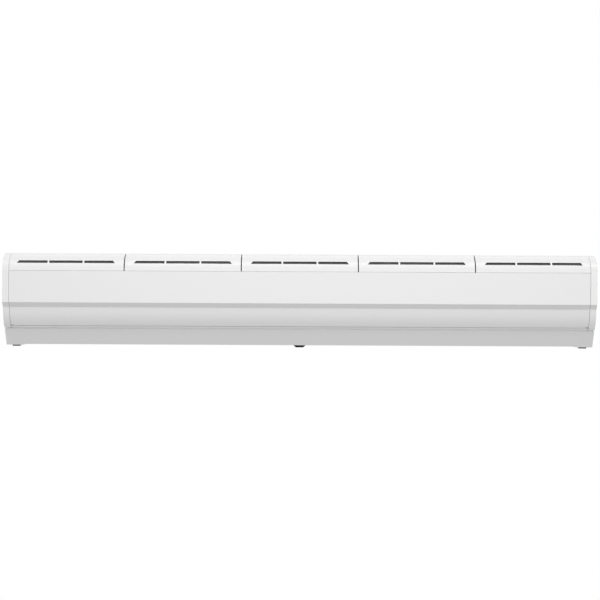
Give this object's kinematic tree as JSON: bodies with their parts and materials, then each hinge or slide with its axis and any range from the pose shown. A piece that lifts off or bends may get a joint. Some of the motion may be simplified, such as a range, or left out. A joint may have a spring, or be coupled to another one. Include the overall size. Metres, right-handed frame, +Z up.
{
  "type": "air curtain",
  "caption": "Long wall-hung air curtain with rounded slotted intake grilles, stepped front, tangential fans and tilting outlet vanes.",
  "frame": {"origin": "on the wall plane, at the centre of the four bracket screws", "axes": "+X along the unit to the viewer's right, the front faces -Y, +Y into the wall, +Z up"},
  "size_m": [1.5, 0.205, 0.2376],
  "materials": {
    "white_sheet": "satin",
    "white_moulding": "satin",
    "galvanised_steel": "satin",
    "bracket_steel": "satin",
    "aluminium": "satin",
    "vane_coat": "satin",
    "filter_mesh": "matte",
    "black_plastic": "matte",
    "black_wire": "satin",
    "rubber": "matte",
    "bronze": "satin",
    "motor_metal": "satin",
    "shaft_steel": "polished",
    "heater_steel": "satin",
    "circuit_board": "satin",
    "pale_plastic": "matte",
    "dark_window": "gloss",
    "screw_steel": "polished"
  },
  "bodies": {
    "casing": {"wall_bracket_left": "bracket_steel", "wall_bracket_right": "bracket_steel", "rear_chassis": "galvanised_steel", "front_cover": "white_sheet", "lower_fascia": "white_sheet", "fascia_rail": "white_sheet", "bottom_casing": "white_sheet", "bottom_end_cover_left": "white_sheet", "bottom_end_cover_right": "white_sheet", "end_cap_left": "white_moulding", "end_cap_right": "white_moulding", "side_plate_left": "galvanised_steel", "side_plate_right": "galvanised_steel", "motor_bay_plate_left": "galvanised_steel", "motor_bay_plate_right": "galvanised_steel", "scroll_left": "galvanised_steel", "scroll_right": "galvanised_steel", "stabiliser_left": "galvanised_steel", "stabiliser_right": "galvanised_steel", "outlet_nozzle": "galvanised_steel", "heater_supports": "galvanised_steel", "motor_cradle": "galvanised_steel", "outlet_guard": "black_wire", "vane_pivot_block_left": "black_plastic", "vane_pivot_block_right": "black_plastic", "motor_case": "motor_metal", "motor_rubber_rings": "rubber", "bearing_bushes": "bronze", "bearing_holders": "rubber", "heating_tubes_left": "heater_steel", "heating_tubes_right": "heater_steel", "thermal_cutout": "black_plastic", "control_board": "circuit_board", "terminal_block": "pale_plastic", "motor_capacitor": "pale_plastic", "receiver_window": "dark_window", "cable_grommet": "rubber", "wiring_trunk": "pale_plastic", "cap_screws": "screw_steel", "bottom_screws": "screw_steel", "cradle_screws": "screw_steel"},
    "rotor": {"motor_shaft": "shaft_steel", "impeller_left": "aluminium", "impeller_right": "aluminium", "impeller_couplings": "rubber"},
    "front_vane": {"deflector_vane_front": "vane_coat"},
    "rear_vane": {"deflector_vane_rear": "vane_coat"},
    "link": {"vane_link": "black_plastic"},
    "grille_1": {"intake_grille_1": "white_moulding", "dust_filter_1": "filter_mesh"},
    "grille_2": {"intake_grille_2": "white_moulding", "dust_filter_2": "filter_mesh"},
    "grille_3": {"intake_grille_3": "white_moulding", "dust_filter_3": "filter_mesh"},
    "grille_4": {"intake_grille_4": "white_moulding", "dust_filter_4": "filter_mesh"},
    "grille_5": {"intake_grille_5": "white_moulding", "dust_filter_5": "filter_mesh"}
  },
  "joints": [
    {"name": "fan_spin", "type": "hinge", "parent": "casing", "child": "rotor", "pos_m": [0, -0.1, 0.002], "axis": [1, 0, 0], "continuous": true},
    {"name": "deflector_tilt", "type": "hinge", "parent": "casing", "child": "front_vane", "pos_m": [0, -0.10569, -0.106], "axis": [1, 0, 0], "range_deg": [-20, 20]},
    {"name": "rear_vane_tilt", "type": "hinge", "parent": "casing", "child": "rear_vane", "pos_m": [0, -0.07169, -0.106], "axis": [1, 0, 0], "range_deg": [-20, 20]},
    {"name": "vane_link_turn", "type": "hinge", "parent": "front_vane", "child": "link", "pos_m": [-0.6879, -0.10569, -0.091], "axis": [1, 0, 0], "range_deg": [-20, 20]},
    {"name": "grille_1_lift", "type": "slide", "parent": "casing", "child": "grille_1", "axis": [0, 0, 1], "range_m": [0, 0.08]},
    {"name": "grille_2_lift", "type": "slide", "parent": "casing", "child": "grille_2", "axis": [0, 0, 1], "range_m": [0, 0.08]},
    {"name": "grille_3_lift", "type": "slide", "parent": "casing", "child": "grille_3", "axis": [0, 0, 1], "range_m": [0, 0.08]},
    {"name": "grille_4_lift", "type": "slide", "parent": "casing", "child": "grille_4", "axis": [0, 0, 1], "range_m": [0, 0.08]},
    {"name": "grille_5_lift", "type": "slide", "parent": "casing", "child": "grille_5", "axis": [0, 0, 1], "range_m": [0, 0.08]}
  ],
  "couplings": [
    {"joint": "rear_vane_tilt", "follows": "deflector_tilt", "ratio": 1},
    {"joint": "vane_link_turn", "follows": "deflector_tilt", "ratio": -1}
  ]
}
